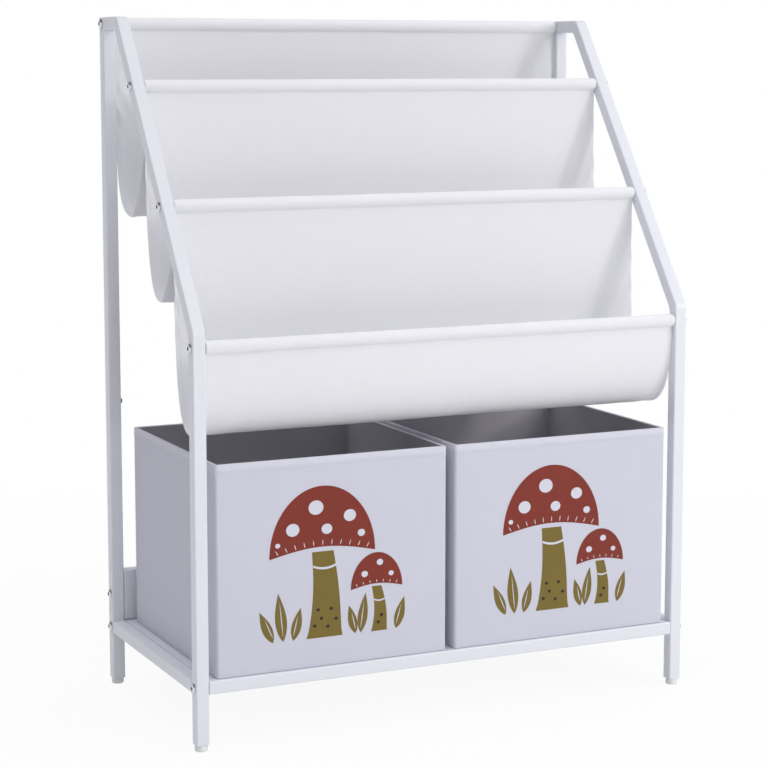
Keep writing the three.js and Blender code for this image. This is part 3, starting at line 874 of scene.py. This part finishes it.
class SlingShape:
    """The line of a sling's cloth seen from the side, as (y, z) points, from its rear to its front.

    Its walls' shares say how far the cloth hangs plumb and bellies out at its rear and front.
    """

    def __init__(self, rear, front, low, setback, walls, shares_rear, owns_front, bulge):
        back_plumb, back_belly, front_belly, front_plumb, front_turn = walls
        bottom = Vector((front.x + setback, low + CLOTH / 2))
        rear_seam = Vector((rear.x - (SIDE_STEP if shares_rear else 0), rear.y - SLEEVE))
        front_seam = Vector((front.x + (0 if owns_front else SIDE_STEP), front.y - SLEEVE))
        down, run = rear_seam - bottom, front_seam.y - bottom.y
        reach = bottom.x - front_seam.x
        meeting = Vector((front_seam.x, front_seam.y - run * front_plumb))
        self.points = []
        if not shares_rear:
            self.add_tail(rear_seam + Vector((TAIL_OFFSET, -TAIL)), REAR_TAIL)
        self.points += sleeve_loop(rear, rear_seam)
        self.wall_start = len(self.points)
        self.points += bezier(
            rear_seam, rear_seam - Vector((0, down.y * back_plumb)),
            bottom + Vector((down.x * back_belly, 0)), bottom, REAR_STEPS,
        )
        self.bottom = len(self.points) - 1
        self.points += bezier(
            bottom, bottom - Vector((reach * front_belly, 0)),
            meeting - Vector((bulge, run * front_turn)), meeting, FRONT_STEPS,
        )
        if front_plumb > 0:
            self.points += [meeting.lerp(front_seam, (i + 1) / PLUMB_STEPS) for i in range(PLUMB_STEPS)]
        self.wall_end = len(self.points) - 1
        if owns_front:
            self.points += reversed(sleeve_loop(front, front_seam))
            self.add_tail(front_seam + Vector((TAIL_OFFSET, 0)), FRONT_TAIL)
        self.lengths = [0.0]
        for a, b in zip(self.points, self.points[1:]):
            self.lengths.append(self.lengths[-1] + (b - a).length)

    def add_tail(self, start, steps):
        """Adds the cloth's free edge behind a seam, in shares of its thickness and of the tail."""
        self.points += [start + Vector((CLOTH * y, TAIL * z)) for y, z in steps]

    def on_wall(self, i):
        return self.wall_start <= i <= self.wall_end

    def across(self, i):
        """The direction square to the cloth at a point."""
        a, b = self.points[max(i - 1, 0)], self.points[min(i + 1, len(self.points) - 1)]
        along = (b - a).normalized()
        return Vector((-along.y, along.x))

    def below(self, i):
        """How far down the rear wall a point lies."""
        return self.lengths[i] - self.lengths[self.wall_start]

    def looseness(self, i):
        """0 on the rods and at the seams, and up to 1 at the sling's lowest place."""
        if not self.on_wall(i):
            return 0.0
        if i <= self.bottom:
            share = (i - self.wall_start) / (self.bottom - self.wall_start)
        else:
            share = (self.wall_end - i) / (self.wall_end - self.bottom)
        return math.sin(QUARTER * min(1.0, share * LOOSE_RISE)) ** 2

    def seam_near(self, i):
        """How near a point of a wall lies to the seam above it, from 0 to 1."""
        if not self.on_wall(i):
            return 0.0
        below_front = self.lengths[self.wall_end] - self.lengths[i]
        return max(0.0, 1 - min(self.below(i), below_front) / SEAM_REACH)

    def creases(self, i, edge, seed):
        """Faint creases that run inwards and down from the upper corners of the rear wall."""
        if not self.wall_start < i <= self.bottom:
            return 0.0
        below = self.below(i)
        shape = math.exp(-(((below - CREASE_DROP) / CREASE_HEIGHT) ** 2)) * fade(edge, CREASE_REACH)
        crease = wave(edge * CREASE_WAY[0] - below * CREASE_WAY[1], CREASE_PITCH, seed)
        uneven = noise.noise(Vector((edge * CREASE_SCALE[0], below * CREASE_SCALE[1], seed)))
        return CREASE * shape * crease * (1 + uneven)

    def lift(self, i, x, half, folds, seed):
        """How far the cloth stands off its line: its hem, folds, puckers, sleeve and creases."""
        edge = half - abs(x)
        hem = HEM_LIFT if edge < HEM_WIDTH else 0.0
        groove = -HEM_GROOVE if abs(edge - HEM_WIDTH) < HEM_GROOVE else 0.0
        near = self.seam_near(i)
        slow = noise.noise(Vector((x * SLOW_SCALE[0] + seed, self.lengths[i] * SLOW_SCALE[1], seed)))
        fold = wave(x, FOLD_PITCH, seed) * fade(edge, FOLD_REACH)
        slant = abs(x) + PUCKER_SLANT * self.below(i)
        pucker = wave(slant, PUCKER_PITCH, seed * 2) * fade(edge, PUCKER_REACH)
        gather = noise.noise(Vector((x * GATHER_SCALE, seed, GATHER_SEED)))
        spread = (near * (1 - near) * 4) ** 2
        shift = self.looseness(i) * folds * (slow + FOLD_SHARE * fold)
        shift += spread * PUCKER * (PUCKER_SHARE * pucker + gather)
        sleeve = 0.0 if self.on_wall(i) else SLEEVE_UNEVEN
        across, turn, along = SLEEVE_SCALE
        uneven = sleeve * noise.noise(Vector((x * across + turn * i, i * along, seed)))
        return hem + groove + shift + uneven + self.creases(i, edge, seed + math.copysign(2, x))


def column_places(half):
    """Places across the width, closer together at the hems."""
    edge = [place * MM for place in HEM_COLUMNS]
    edge += [(EDGE_COLUMN_START + EDGE_COLUMN_STEP * i) * MM for i in range(EDGE_COLUMNS)]
    inner = half - MIDDLE_INSET
    middle = [-inner + 2 * inner * share for share in shares(MIDDLE_COLUMNS)]
    return [-half + e for e in edge] + middle + [half - e for e in reversed(edge)]


def sling(name, node, shape, folds, seed):
    """One cloth sling, as a sheet with hems, gentle folds and its stitching."""
    low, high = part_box(node)
    half = (high.x - low.x) / 2 + REACH
    columns = column_places(half)
    points, cut = [], []
    for i, point in enumerate(shape.points):
        across = shape.across(i)
        for x in columns:
            place = point + across * shape.lift(i, x, half, folds, seed)
            points.append((x, *place))
            cut.append((x + half, shape.lengths[i]))
    piece = mesh_piece(name, points, grid_faces(len(columns), len(shape.points), round_rows=False))
    layer = piece.data.uv_layers.new(name="cut")
    for loop in piece.data.loops:
        layer.data[loop.index].uv = cut[loop.vertex_index]
    modify(piece, "SOLIDIFY", thickness=CLOTH, offset=0.0)
    modify(piece, "SUBSURF", levels=1, render_levels=1)
    dress(smooth(piece, CLOTH_SMOOTH), SLING, replaces=[node])

    stitches = stitching(f"{name}_stitching", seam_rows(shape, half) + hem_rows(shape, half))
    dress(stitches, SLING_THREAD)


def seam_rows(shape, half):
    """Where the sleeves' seams are stitched, on both faces."""
    rows = []
    seams = [shape.wall_start]
    if shape.points[-1].y < shape.points[shape.wall_end].y:
        seams.append(shape.wall_end)
    for index in seams:
        start = shape.points[index]
        for face in (-1, 1):
            over_tail = STITCH_TAIL if face > 0 and index == shape.wall_start else 0
            y = start.x + face * (CLOTH / 2 + STITCH_SINK[0]) + over_tail
            ends = (STITCH_INSET - half, half - STITCH_INSET)
            rows.append([Vector((x, y, start.y - SEAM_DROP)) for x in ends])
    return rows


def hem_rows(shape, half):
    """Where the side hems are stitched, on both faces."""
    rows = []
    for sign in (-1, 1):
        for face in (-1, 1):
            lift = HEM_LIFT + face * (CLOTH / 2 + STITCH_SINK[1])
            path = []
            for i in range(shape.wall_start + 2, shape.wall_end):
                point = shape.points[i] + shape.across(i) * lift
                path.append(Vector((sign * (half - HEM_WIDTH + HEM_STITCH), *point)))
            rows.append(path)
    return rows


def stitching(name, rows):
    """Rows of short stitches along paths, all in one piece."""
    bpy.ops.mesh.primitive_ico_sphere_add(subdivisions=1, radius=1)
    ball = bpy.context.object
    ball_points = [v.co.copy() for v in ball.data.vertices]
    ball_faces = [tuple(p.vertices) for p in ball.data.polygons]
    bpy.data.objects.remove(ball)
    points, faces = [], []
    for path in rows:
        gone = 0.0
        next_start = STITCH / 2
        for a, b in zip(path, path[1:]):
            span = (b - a).length
            if span == 0:
                continue
            along = (b - a) / span
            side = along.orthogonal().normalized()
            other = along.cross(side)
            while next_start <= gone + span:
                centre = a + along * (next_start - gone)
                base = len(points)
                for v in ball_points:
                    out = (side * v.x + other * v.y) * STITCH_RADIUS
                    points.append(centre + along * (v.z * STITCH / 2) + out)
                faces += [tuple(base + k for k in face) for face in ball_faces]
                next_start += STITCH + STITCH_GAP
            gone += span
    return smooth(mesh_piece(name, points, faces))


def slings():
    rods = [place_of(rod)[2].yz for rod in RODS]
    for i, (name, setback, walls, bulge, folds, seed) in enumerate(SLINGS):
        node = f"sling_{name}"
        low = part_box(node)[0].z
        last = i == len(SLINGS) - 1
        shape = SlingShape(rods[i], rods[i + 1], low, setback * MM, walls, i > 0, last, bulge * MM)
        sling(f"cloth_{name}", node, shape, folds * MM, seed)


# Fabric bins

BIN_CORNER = 3.4 * MM
BIN_SIDE_STEPS = 36
BIN_CORNER_STEPS = 6
BIN_HEIGHT_STEPS = 34
BIN_CLOTH = 0.42 * MM
BIN_FOOT = 0.9 * MM
BIN_FLOOR_INSET = 30 * MM
BIN_BULGE = 0.7 * MM
BIN_UNEVEN = 0.35 * MM
BIN_SCALE = 14
LEAST_CORNER = 0.6 * MM
RIM_WIDTH = 3.6 * MM
RIM_RISE = 0.92
RIM_STEPS = 6
HEM_DROP = 10.5 * MM
HEM_OUT = 0.2 * MM
HEM_IN = 0.12 * MM
HEM_MIDDLE = 0.55
HEM_STEP = 0.3 * MM
LINING_CLOTH = 0.4 * MM
LINING_GAP = 0.15 * MM
LINING_DROP = 1.1 * MM
LINING_CORNER = 1.2 * MM
LINING_UNEVEN = 0.25 * MM
LINING_SCALE = 20
LINING_SEED = Vector((0, 0, 5))
LINING_TOP = 6 * MM
LINING_STEPS = 14
LINING_SMOOTH = math.radians(50)
BASE_EDGE = 0.7 * MM
BIN_STITCH_DROP = 2.2 * MM
BIN_STITCH_OUT = 0.45 * MM


def outline(half_x, half_y, radius):
    """Points of a rounded rectangle with their outward normals, counter-clockwise."""
    points = []
    corners = ((1, 1), (-1, 1), (-1, -1), (1, -1))
    centres = [Vector((sx * (half_x - radius), sy * (half_y - radius))) for sx, sy in corners]
    for index, centre in enumerate(centres):
        start = index * QUARTER
        for k in range(BIN_CORNER_STEPS + 1):
            normal = direction(start + QUARTER * k / BIN_CORNER_STEPS)
            points.append((centre + normal * radius, normal))
        following = centres[(index + 1) % len(centres)]
        for k in range(1, BIN_SIDE_STEPS):
            points.append((centre.lerp(following, k / BIN_SIDE_STEPS) + normal * radius, normal))
    return points


def lofted(name, rings):
    """A surface through rings of as many points each, with its first ring filled."""
    count = len(rings[0])
    faces = grid_faces(count, len(rings))
    faces.append(tuple(reversed(range(count))))
    return mesh_piece(name, [p for ring in rings for p in ring], faces)


class Bin:
    """One fabric bin, made over its cover's box: cloth, lining, loose base, stitches and print."""

    def __init__(self, side):
        self.body = f"bin_{side}"
        self.low, self.high, self.centre = place_of(f"bin_{side}_cover")
        self.half_x = (self.high.x - self.low.x) / 2
        self.half_y = (self.high.y - self.low.y) / 2
        self.full = self.high.z - self.low.z

    def swell(self, point, height):
        """How far the wall stands proud: a slight bulge, and a soft unevenness of the cloth."""
        on_front = abs(point.y) > self.half_y - BIN_CORNER
        across = 1 - (point.x / self.half_x) ** 2 if on_front else 1 - (point.y / self.half_y) ** 2
        up = math.sin(math.pi * min(1.0, max(0.0, height / self.full)))
        uneven = noise.noise(Vector((point.x, point.y, height)) * BIN_SCALE)
        return across * up * (BIN_BULGE + BIN_UNEVEN * uneven)

    def crumple(self, point, height):
        """How far the lining sinks inwards."""
        uneven = noise.noise(Vector((point.x, point.y, height)) * LINING_SCALE + LINING_SEED)
        return min(0.0, LINING_UNEVEN * uneven)

    def ring(self, height, inset=0.0, out=None, corner=None):
        """Places round the bin at a height, drawn in by an inset, and moved out by a function."""
        corner = corner or max(BIN_CORNER - inset, LEAST_CORNER)
        made = []
        for point, normal in outline(self.half_x - inset, self.half_y - inset, corner):
            spot = point + normal * (out(point, height) if out else 0.0)
            made.append(Vector((self.centre.x + spot.x, self.centre.y + spot.y, self.low.z + height)))
        return made

    def lay_cut(self, piece):
        """Gives a piece its flat cut: along the walls round the bin, and up them."""
        mesh = piece.data
        layer = mesh.uv_layers.new(name="cut")
        for face in mesh.polygons:
            flat = abs(face.normal.z) > LEVEL
            sideways = abs(face.normal.x) > abs(face.normal.y)
            for index in face.loop_indices:
                co = mesh.vertices[mesh.loops[index].vertex_index].co - self.centre
                if flat:
                    layer.data[index].uv = (co.x, co.y)
                else:
                    layer.data[index].uv = (co.y if sideways else co.x, co.z)

    def cover(self):
        """The outer cloth: rounded at the floor, up the walls, out round the hem and over the rim."""
        full, arc = self.full, RIM_WIDTH / 2
        rings = [self.ring(0, BIN_FLOOR_INSET), self.ring(0, BIN_FOOT * 2)]
        for turn in (math.pi / 6, math.pi / 3, QUARTER):
            rings.append(self.ring(BIN_FOOT * (1 - math.cos(turn)), BIN_FOOT * (1 - math.sin(turn))))
        rise = full - HEM_DROP - 2 * HEM_STEP - BIN_FOOT
        for i in range(BIN_HEIGHT_STEPS):
            rings.append(self.ring(BIN_FOOT + rise * (i + 1) / BIN_HEIGHT_STEPS, 0, self.swell))
        rings.append(self.ring(full - HEM_DROP - HEM_STEP, HEM_IN, self.swell))
        for drop in (HEM_DROP, HEM_DROP * HEM_MIDDLE, arc):
            rings.append(self.ring(full - drop, -HEM_OUT, self.swell))
        for i in range(1, RIM_STEPS):
            turn = math.pi * i / RIM_STEPS
            height = full - arc + arc * RIM_RISE * math.sin(turn)
            rings.append(self.ring(height, arc - (arc + HEM_OUT) * math.cos(turn)))
        cover = lofted(f"{self.body}_cloth", rings)
        self.lay_cut(cover)
        modify(cover, "SOLIDIFY", thickness=BIN_CLOTH, offset=-1.0)
        smooth(cover, CLOTH_SMOOTH)
        dress(cover, BIN, self.body, replaces=[f"{self.body}_cover"])
        cover.data.materials.append(BIN_HEM)
        for face in cover.data.polygons:
            if face.center.z > self.high.z - HEM_DROP - HEM_OUT:
                face.material_index = 1

    def lining(self):
        top, floor = self.full - LINING_TOP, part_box(f"{self.body}_base_board")[0].z - self.low.z
        heights = [self.full - LINING_DROP]
        heights += [top - (top - floor) * i / LINING_STEPS for i in range(LINING_STEPS + 1)]
        inset = RIM_WIDTH + LINING_GAP
        rings = [self.ring(height, inset, self.crumple, LINING_CORNER) for height in reversed(heights)]
        lining = lofted(f"{self.body}_inner_cloth", rings)
        self.lay_cut(lining)
        with editing(lining):
            bpy.ops.mesh.flip_normals()
        modify(lining, "SOLIDIFY", thickness=LINING_CLOTH, offset=-1.0)
        smooth(lining, LINING_SMOOTH)
        dress(lining, LINING, self.body, replaces=[f"{self.body}_lining"])

    def base(self):
        node = f"{self.body}_base_board"
        low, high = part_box(node)
        base = cuboid(f"{self.body}_base", low, high)
        modify(base, "BEVEL", width=BASE_EDGE, segments=EDGE_STEPS)
        self.lay_cut(base)
        dress(smooth(base), LINING, self.body, replaces=[node])

    def stitches(self):
        hem = self.full - HEM_DROP
        path = self.ring(hem + BIN_STITCH_DROP, 0, lambda point, _: self.swell(point, hem) + BIN_STITCH_OUT)
        seam = stitching(f"{self.body}_stitching", [path + path[:1]])
        dress(seam, BIN_THREAD, self.body)

    def print_layer(self, name, shapes, material, lift):
        """Flat shapes of one ink on the front. Their places are (across, up) from its middle."""
        pieces = []
        for shape in shapes:
            points = []
            for p in shape:
                height = self.full / 2 + p.y
                out = self.half_y + self.swell(Vector((p.x, -self.half_y)), height) + PRINT_LIFT * lift
                points.append((self.centre.x + p.x, self.centre.y - out, self.low.z + height))
            piece = mesh_piece("shape", points, [tuple(range(len(points)))])
            with editing(piece):
                bpy.ops.mesh.quads_convert_to_tris()
            pieces.append(piece)
        layer = join(f"{self.body}_print_{name}", pieces)
        with editing(layer):
            pick("FACE", lambda face: face.normal.y > 0)
            bpy.ops.mesh.flip_normals()
        self.lay_cut(layer)
        dress(layer, material, self.body)


# Print: two toadstools over a patch of leaves, in millimetres. Caps and bands are placed from the
# front's middle, spots from the middle of their cap's lower edge, leaves and dots from GROUND.

PRINT_LIFT = 0.12 * MM
GROUND = -86 * MM
BIG = Vector((-14, 8)) * MM
SMALL = Vector((52, -36)) * MM
CAP_WIDTH = 128 * MM
CAP_HEIGHT = 78 * MM
SMALL_CAP_HEIGHT = 40.56 * MM
CAP_HOLLOW = 0.12
STALK_BOW = 3 * MM
STALK_TAPER = 0.6
# Each stalk's cap, its foot's lean, its rise into the cap, and its width at foot and top
STALKS = ((BIG, 2, 4, 44, 26), (SMALL, 3, 2, 20, 12))
# Each band across a stalk: its place, width, depth and sag
SKIRTS = ((-12, -3, 27.6, 2.6, 3), (55.3, -48.5, 13.2, 1.8, 1.6))
LEAF_FULLNESS = 0.8
# Each leaf's place across, length, width and lean in degrees
BLADES = (
    (-74, 40, 12, -24), (-62, 56, 14, -6), (-50, 38, 12, 14),
    (26, 34, 11, -14), (32, 46, 12, 8), (76, 38, 12, 16),
)
VEIN_START = 5
VEIN_LESS = 14
VEIN_WIDTH = 1.1 * MM
BIG_SPOTS = ((-36, 31, 8), (-8, 54, 9), (5, 29, 6.5), (33, 42, 7.5), (47, 21, 4.5), (-54, 15, 3))
SMALL_SPOTS = ((-15, 17, 4), (4, 29, 4), (18, 15, 3.2))
SPOT_FLATNESS = 0.9
DOT_WIDTH = 4.4 * MM
DOT_HEIGHT = 3.8 * MM
DOT_STEPS = 12
DOTS = ((-24, 14), (-16, 22), (-8, 12), (-20, 32), (2, 20), (54, 10), (58, 18), (-4, 32))
BIG_GILLS = 11
SMALL_GILLS = 7
GILL_CURVE = 1.2
GILL_RISE = 1.6 * MM
GILL_WIDTH = 1.0 * MM
GILL_SHARE = 0.11
GILL_LEAN = 38


def at(x, y):
    return Vector((x * MM, y * MM))


def arc_points(centre, across, up, start, end, steps):
    made = []
    for share in shares(steps):
        turn = math.radians(start + (end - start) * share)
        made.append(Vector((centre.x + across * math.cos(turn), centre.y + up * math.sin(turn))))
    return made


def disc(centre, across, up, steps=28):
    return arc_points(centre, across, up, 0, 360, steps)[:-1]


def leaf(root, length, width, lean, steps=12):
    """A pointed leaf from its root, leaning by an angle from upright."""
    turn = math.radians(lean)
    along = Vector((math.sin(turn), math.cos(turn)))
    side = Vector((along.y, -along.x))
    right, left = [], []
    for share in shares(steps):
        swell = math.sin(math.pi * share**LEAF_FULLNESS) * width / 2
        right.append(root + along * length * share + side * swell)
        left.append(root + along * length * share - side * swell)
    return right + list(reversed(left[1:-1]))


def cap(centre, width, height, steps=24, arc_steps=40):
    """A domed cap with a gently hollow underside."""
    points = arc_points(centre, width / 2, height, 0, 180, arc_steps)
    for share in shares(steps)[1:-1]:
        rise = CAP_HOLLOW * height * math.sin(math.pi * share)
        points.append(Vector((centre.x - width / 2 + width * share, centre.y + rise)))
    return points


def stalk(foot_middle, top_middle, foot_width, top_width, steps=14):
    right, left = [], []
    for share in shares(steps):
        middle = foot_middle.lerp(top_middle, share)
        width = foot_width + (top_width - foot_width) * share**STALK_TAPER
        bow = STALK_BOW * math.sin(math.pi * share)
        right.append(middle + Vector((width / 2 + bow, 0)))
        left.append(middle + Vector((-width / 2 + bow, 0)))
    return right + list(reversed(left))


def skirt(middle, width, depth, sag, steps=12):
    """A curved band across a stalk."""
    over, under = [], []
    for share in shares(steps):
        over.append(middle + Vector((width * (share - 0.5), -sag * 4 * share * (1 - share))))
        under.append(over[-1] - Vector((0, depth)))
    return over + list(reversed(under))


def gills(middle, radius, count):
    """Short strokes under a cap's edge, leaning outwards."""
    strokes = []
    for i in range(count):
        share = (i + 1) / (count + 1) * 2 - 1
        rise = CAP_HOLLOW * radius * GILL_CURVE * math.cos(share * QUARTER) + GILL_RISE
        root = middle + Vector((share * radius, rise))
        strokes.append(leaf(root, radius * GILL_SHARE, GILL_WIDTH, share * GILL_LEAN))
    return strokes


def print_design(one):
    """The design on the front of one bin, in inks that lie one over the other."""
    ground = Vector((0, GROUND))
    stalks = [
        stalk(Vector((cap_middle.x + lean * MM, GROUND)), cap_middle + at(0, rise), foot * MM, top * MM)
        for cap_middle, lean, rise, foot, top in STALKS
    ]
    leaves, veins = [], []
    for x, length, width, lean in BLADES:
        leaves.append(leaf(Vector((x * MM, GROUND)), length * MM, width * MM, lean))
        root = Vector((x * MM, GROUND + VEIN_START * MM))
        veins.append(leaf(root, (length - VEIN_LESS) * MM, VEIN_WIDTH, lean))
    caps = [cap(BIG, CAP_WIDTH, CAP_HEIGHT), cap(SMALL, CAP_WIDTH / 2, SMALL_CAP_HEIGHT)]
    spots = [
        disc(middle + at(x, y), r * MM, r * SPOT_FLATNESS * MM)
        for middle, places in ((BIG, BIG_SPOTS), (SMALL, SMALL_SPOTS)) for x, y, r in places
    ]
    strokes = gills(BIG, CAP_WIDTH / 2, BIG_GILLS) + gills(SMALL, CAP_WIDTH / 4, SMALL_GILLS)
    skirts = [skirt(at(x, y), width * MM, depth * MM, sag * MM) for x, y, width, depth, sag in SKIRTS]
    dots = [disc(ground + at(x, y), DOT_WIDTH / 2, DOT_HEIGHT / 2, DOT_STEPS) for x, y in DOTS]
    for name, shapes, material, lift in (
        ("olive", stalks + leaves, OLIVE, 1.0), ("rust", caps, RUST, 1.6),
        ("spots", spots + veins + strokes + skirts, BIN_HEM, 2.4), ("dots", dots, UMBER, 2.4),
    ):
        one.print_layer(name, shapes, material, lift)


def bin_set(side):
    one = Bin(side)
    one.cover()
    one.lining()
    one.base()
    one.stitches()
    print_design(one)
    for wall in ("front", "back", "left", "right"):
        node = frame["nodes"][f"bin_{side}_{wall}_board"]
        node.data.materials.clear()
        node.data.materials.append(GREY_BOARD)


# Studio

LENS_PIXELS = 2154.9
FRAME_PIXELS = 768
SENSOR = 36.0
CAMERA_PLACE = (-1.0950, -2.2973, 0.7484)
CAMERA_YAW = math.radians(25.20)
CAMERA_PITCH = math.radians(7.30)
CAMERA_SHIFT = -0.06
FLOOR_SIZE = 14.0
FLOOR_GREY = (0.9, 0.9, 0.9, 1.0)
FLOOR_ROUGHNESS = 0.9
FLOOR_WHITE = 0.92
FLOOR_FADE_START = 0.5
FLOOR_FADE_WIDTH = 0.9
SKY_STRENGTH = 1.65
SKY_COLOUR = (0.955, 0.97, 1.0, 1.0)
CEILING_START = 0.1
CEILING_SLOPE = 2.5
CEILING_DIM = 0.85
LAMP_AIM = Vector((0, 0, 0.6))
# Each lamp's name, place, size and power: two broad ones, and a small key that casts the
# soft-edged shadows of the frame.
LAMPS = (
    ("front", (0.2, -3.6, 0.9), 3.0, 20),
    ("side", (2.0, -2.6, 2.2), 2.0, 32),
    ("key", (2.316, -3.105, 1.469), 0.35, 16.5),
)
SEEN_RAYS = ("Is Camera Ray", "Is Glossy Ray", "Is Transmission Ray")


def camera():
    data = bpy.data.cameras.new("camera")
    data.sensor_width = SENSOR
    data.lens = SENSOR * LENS_PIXELS / FRAME_PIXELS
    data.shift_y = CAMERA_SHIFT
    eye = new_object("camera", data)
    eye.location = CAMERA_PLACE
    eye.rotation_euler = (QUARTER - CAMERA_PITCH, 0, -CAMERA_YAW)
    bpy.context.scene.camera = eye


def ray_share(tree, first, *others):
    """1 for the kinds of ray named, and 0 for the others."""
    rays = add_node(tree, "LightPath", output=first)
    return sum((rays.also(kind) for kind in others), rays).held()


def floor():
    """A pale floor that looks white, with a faint shadow of the object on it."""
    bpy.ops.mesh.primitive_plane_add(size=FLOOR_SIZE)
    plane = bpy.context.object
    plane.name = "floor"
    finish = Finish("pale_floor", Base_Color=FLOOR_GREY, Roughness=FLOOR_ROUGHNESS, Specular_IOR_Level=0.0)
    tree = finish.tree
    x, y, _ = finish.axes()
    far = (x * x + y * y) ** 0.5
    share = ((far - FLOOR_FADE_START) / FLOOR_FADE_WIDTH).held() * (1 - FLOOR_WHITE) + FLOOR_WHITE
    share = share * ray_share(tree, *SEEN_RAYS)
    inputs = {0: share, 1: Value(finish.shader.outputs[0]), 2: finish.node("Emission")}
    tree.links.new(finish.node("MixShader", inputs).socket, tree.nodes["Material Output"].inputs[0])
    plane.data.materials.append(finish.material)


def world():
    """Light from above that fades towards the horizon. Gloss sees a dim ceiling, the camera white."""
    sky = bpy.data.worlds.new("studio")
    bpy.context.scene.world = sky
    sky.use_nodes = True
    tree = sky.node_tree
    tree.nodes.clear()
    way = add_node(tree, "TexCoord", output="Generated")
    height = add_node(tree, "SeparateXYZ", {0: way}, output="Z").held()
    fading = {"Color": SKY_COLOUR, "Strength": height * height * SKY_STRENGTH}
    ceiling = ((height - CEILING_START) * CEILING_SLOPE).held() * ray_share(tree, "Is Glossy Ray")
    white = {"Color": (1, 1, 1, 1), "Strength": 1 - ceiling * CEILING_DIM}
    soft, seen = add_node(tree, "Background", fading), add_node(tree, "Background", white)
    mix = add_node(tree, "MixShader", {0: ray_share(tree, *SEEN_RAYS), 1: soft, 2: seen})
    add_node(tree, "OutputWorld", {0: mix})


def lights():
    for name, place, size, power in LAMPS:
        data = bpy.data.lights.new(name, "AREA")
        data.shape = "SQUARE"
        data.size = size
        data.energy = power
        lamp = new_object(name, data)
        lamp.location = place
        lamp.rotation_euler = (LAMP_AIM - Vector(place)).to_track_quat("-Z", "Y").to_euler()


# Making

camera()
for side, sign in SIDES:
    side_frame(side, sign)
    for end in ("front", "rear"):
        foot(side, end)
cross_rail("rail_front", "front_rail")
cross_rail("rail_rear", "rear_rail")
for rod in RODS:
    cross_rod(f"{rod}_tube", rod)
board("deck", "deck_board", DECK_EDGE)
board("stop", "stop_board", STOP_EDGE)
fasteners()
slings()
for side, _ in SIDES:
    bin_set(side)
floor()
world()
lights()
bpy.context.scene.view_settings.view_transform = "Standard"
